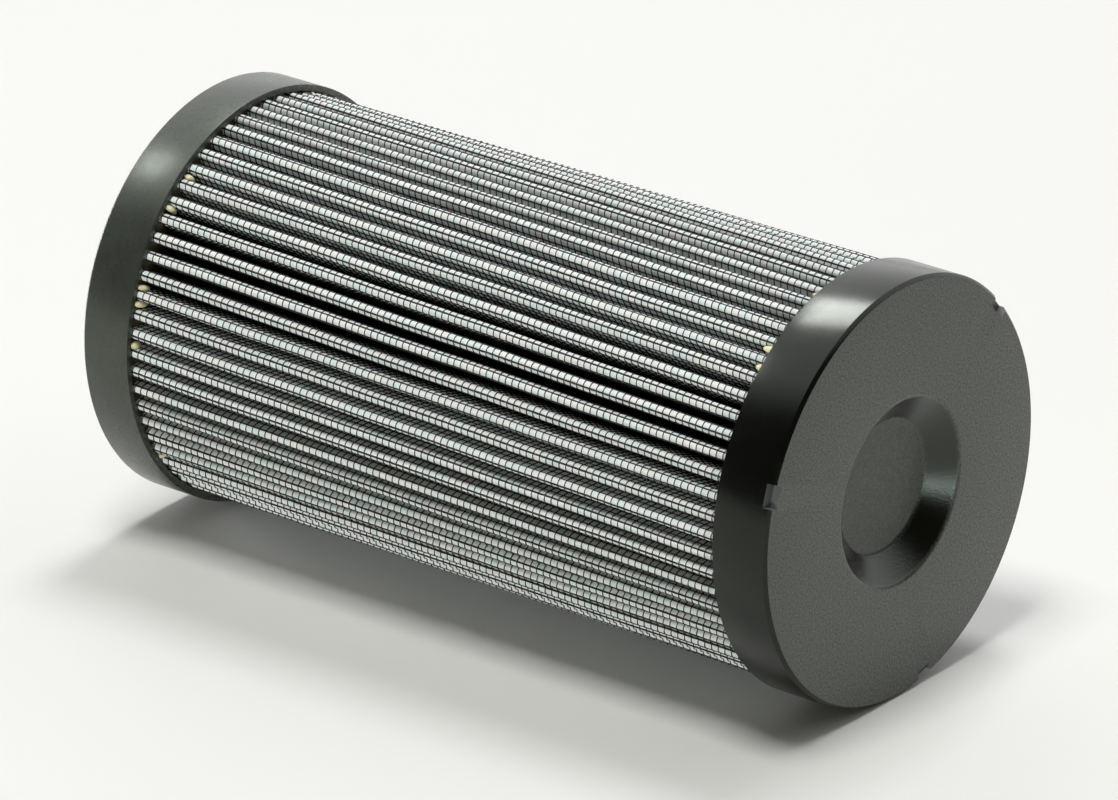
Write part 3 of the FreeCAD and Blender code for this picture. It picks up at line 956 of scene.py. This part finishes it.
def one_sided(name, colour, roughness=0.6):
    """Pale surface that doesn't hide the element when it is seen from behind."""
    surface = Finish(name)
    cloud = surface.noise(surface.place, 6, 2)
    surface.use(Base_Color=surface.blend(cloud, grey(colour, 0.006), grey(colour * 0.97, 0.012)))
    surface.use(Roughness=roughness)
    behind = surface.node("ShaderNodeNewGeometry", None, None, "Backfacing")
    surface.use(Alpha=1 - behind)
    return surface.material


def plane(name, middle, normal, size, material):
    facing = normal.to_track_quat("Z", "Y").to_matrix().to_4x4()
    mesh = bpy.data.meshes.new(name)
    corners = [(-size, -size), (size, -size), (size, size), (-size, size)]
    mesh.from_pydata([middle + facing @ Vector((x, y, 0)) for x, y in corners], [], [(0, 1, 2, 3)])
    mesh.materials.append(material)
    made = loose_object(name, mesh)
    return made


def beam(upward, onward, sideward):
    """Direction from its parts above the floor, along the element and across it."""
    return placed(FLOOR_UP * upward + ALONG * onward + ACROSS * sideward).normalized()


def soft_lamp(name, height, way, distance, share, level, tint=(1, 1, 1)):
    """Square lamp that shines at a height on the element's axis. Its side is a share of its distance, and
    white paper that faces it alone there looks as bright as its level."""
    lamp = bpy.data.lights.new(name, "AREA")
    lamp.shape = "SQUARE"
    lamp.size = share * distance
    lamp.energy = level * (math.pi * distance) ** 2
    lamp.color = tint
    made = bpy.data.objects.new(name, lamp)
    bpy.context.scene.collection.objects.link(made)
    made.location = Vector((0, 0, height)) + way * distance
    made.rotation_mode = "QUATERNION"
    made.rotation_quaternion = way.to_track_quat("Z", "Y")
    return made


up = placed(FLOOR_UP)
floor_paint = one_sided("pale_floor", 0.825)
lying_floor = plane("lying_floor", up * -(CAP_RADIUS + 0.05 * MM), up, 3.0, floor_paint)
standing_floor = plane("standing_floor", Vector((0, 0, -0.2 * MM)), ALONG, 3.0, floor_paint)
for floor in (lying_floor, standing_floor):
    floor.visible_diffuse = False
    floor.visible_shadow = False
standing_floor.visible_glossy = False

middle = LENGTH / 2

# Highlights on both skirts, and the glint on the dish's wall

near_glint = soft_lamp("near_glint", closed_high.z / 2, beam(0.813, 0.510, 0.283), 0.353, 0.29, 0.40)
far_glint = soft_lamp("far_glint", open_low.z, beam(0.80, 0.562, -0.215), 0.331, 0.20, 0.13)
dish_glint = soft_lamp("dish_glint", 0, beam(-0.06, -0.91, -0.41), 0.25, 0.22, 0.11, (0.86, 0.97, 1.0))
for glint in (near_glint, far_glint, dish_glint):
    glint.visible_diffuse = False

# Both ends of the element: the closed cap's face, and the open cap's when the element stands

soft_lamp("front_lamp", middle, beam(-0.15, -0.30, -0.94), 1.6, 0.22, 0.50, (0.98, 1.0, 0.93))
soft_lamp("standing_lamp", middle, ALONG, 1.6, 0.3, 0.95)

# Two lamps above make the shadow's two steps, and the walls and the floor fill it

overhead = soft_lamp("overhead", middle, beam(0.965, -0.03, -0.26), 3.0, 0.31, 0.57, (0.99, 1.0, 0.96))
rear_lamp = soft_lamp("rear_lamp", middle, beam(0.92, 0.10, 0.37), 3.0, 0.27, 0.34)
back_wall = soft_lamp("back_wall", middle, beam(0.5, -0.3, 0.81), 3.0, 1.6, 0.56)
near_wall = soft_lamp("near_wall", middle, beam(0.5, -0.2, -0.85), 3.0, 1.6, 0.14, (1.0, 1.0, 0.78))
floor_glow = soft_lamp("floor_glow", 1.25 * LENGTH, beam(-0.8, 0, -0.6), 0.18, 1.2, 0.34)
for fill in (overhead, rear_lamp, back_wall, near_wall, floor_glow):
    fill.visible_glossy = False

# The room, seen in gloss only, and the pale backdrop

world = bpy.data.worlds.new("studio")
bpy.context.scene.world = world
world.use_nodes = True
world.cycles_visibility.diffuse = False
sky = Sheet(world.node_tree)
sky.tree.nodes.clear()
way = sky.node("ShaderNodeTexCoord", None, None, "Generated")
behind = tuple(beam(0.82, 0.28, 0.50))
facing = sky.node("ShaderNodeVectorMath", {"operation": "DOT_PRODUCT"}, {0: way, 1: behind}, "Value")
bright = sky.limit(facing, 0.34, 0.66)
room = sky.blend(bright, (0.036, 0.036, 0.022, 1), grey(1.34))
seen = sky.node("ShaderNodeLightPath", None, None, "Is Camera Ray")
shown = sky.blend(seen, room, grey(0.92))
background = sky.node("ShaderNodeBackground", None, {"Color": shown})
sky.node("ShaderNodeOutputWorld", None, {"Surface": background})

camera = bpy.data.objects.new("camera", bpy.data.cameras.new("camera"))
bpy.context.scene.collection.objects.link(camera)
bpy.context.scene.camera = camera
camera.data.lens = LENS_LENGTH
camera.data.sensor_width = 36
camera.data.clip_start = 0.1
camera.data.clip_end = 20
right = placed(LENS_RIGHT)
forward = placed(LENS_FORWARD)
axes = Matrix((right, right.cross(forward), -forward)).transposed()
camera.matrix_world = Matrix.Translation(placed(LENS_PLACE) * CAP_RADIUS) @ axes.to_4x4()

bpy.context.scene.view_settings.view_transform = "Standard"
